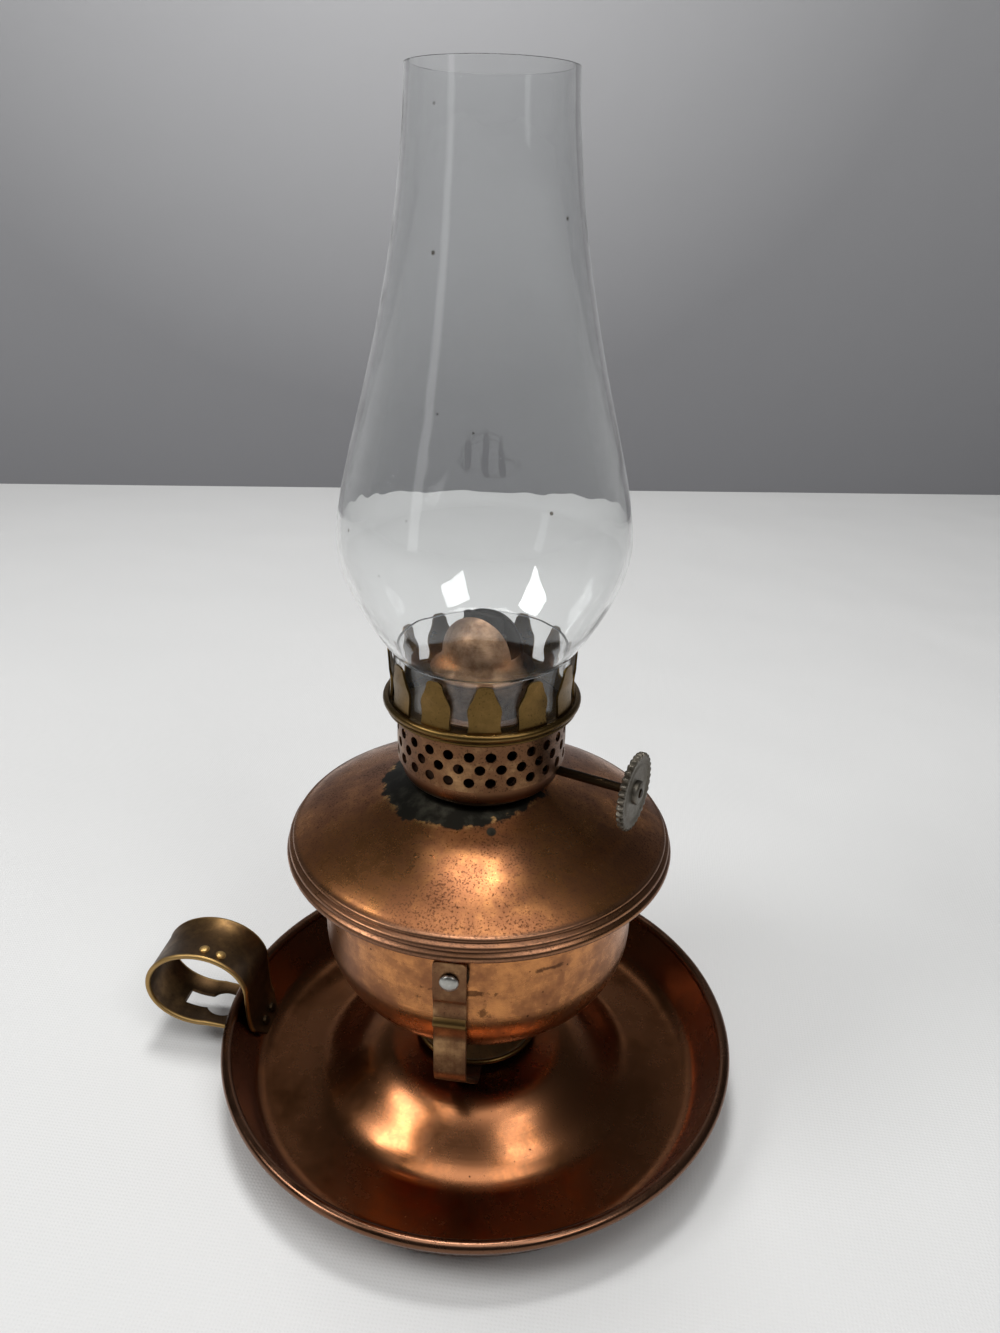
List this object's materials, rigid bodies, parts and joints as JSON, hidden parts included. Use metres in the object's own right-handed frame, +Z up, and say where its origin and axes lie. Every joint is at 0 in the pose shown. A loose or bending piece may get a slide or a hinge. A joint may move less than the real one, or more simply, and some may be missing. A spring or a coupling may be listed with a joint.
{
  "type": "miniature oil lamp",
  "caption": "Copper oil lamp whose font tilts on rivets in a brass yoke on a saucer with a finger ring; flat-wick burner, winder and glass chimney.",
  "frame": {"origin": "on the plane the saucer rests on, under the middle of the bounding box", "axes": "+Z up along the chimney, -X towards the finger ring, +Y along the font's pivot axis"},
  "size_m": [0.1405, 0.12, 0.2117],
  "materials": {
    "polished_copper": "polished, lightly tarnished copper",
    "tarnished_copper": "copper darkened to brown, with worn bright patches",
    "aged_brass": "aged brass with a soft sheen",
    "dark_brass": "darkened brass",
    "rivet_steel": "tinned steel",
    "wheel_nickel": "dull nickel plate",
    "wick_cotton": "woven cotton, charred at the tip",
    "clear_glass": "clear glass"
  },
  "bodies": {
    "stand": {"saucer": "tarnished_copper", "finger_ring": "aged_brass", "handle_rivet_near": "dark_brass", "handle_rivet_far": "dark_brass", "yoke": "aged_brass", "yoke_plate": "dark_brass", "yoke_rivet": "dark_brass", "pivot_rivet_front": "rivet_steel", "pivot_rivet_rear": "rivet_steel", "pivot_washer_front": "dark_brass", "pivot_washer_rear": "dark_brass"},
    "font": {"font_bowl": "polished_copper", "font_shoulder": "polished_copper", "font_collar": "dark_brass"},
    "burner": {"burner_cup": "dark_brass", "burner_band": "aged_brass", "burner_gallery": "aged_brass", "burner_deck": "dark_brass", "wick_tube": "dark_brass", "ratchet_box": "dark_brass", "flame_spreader": "aged_brass"},
    "winder": {"spindle": "aged_brass", "feed_wheel_inner": "dark_brass", "feed_wheel_outer": "dark_brass", "thumb_wheel": "wheel_nickel"},
    "wick": {"wick": "wick_cotton"},
    "chimney": {"chimney": "clear_glass"}
  },
  "joints": [
    {"name": "font_tilt", "type": "hinge", "parent": "stand", "child": "font", "pos_m": [0.01015, 0, 0.0568], "axis": [0, 1, 0], "range_deg": [-90, 90]},
    {"name": "burner_unscrew", "type": "slide", "parent": "font", "child": "burner", "axis": [0, 0, 1], "range_m": [0, 0.0065]},
    {"name": "winder_turn", "type": "hinge", "parent": "burner", "child": "winder", "pos_m": [0.01135, 0.00329, 0.0849], "axis": [0.9397, -0.342, 0], "range_deg": [-82, 101]},
    {"name": "wick_feed", "type": "slide", "parent": "burner", "child": "wick", "axis": [0, 0, 1], "range_m": [-0.0042, 0.0034]},
    {"name": "chimney_lift", "type": "slide", "parent": "burner", "child": "chimney", "axis": [0, 0, 1], "range_m": [0, 0.02]}
  ],
  "couplings": [
    {"joint": "winder_turn", "follows": "wick_feed", "rad_per_m": -416.67}
  ]
}
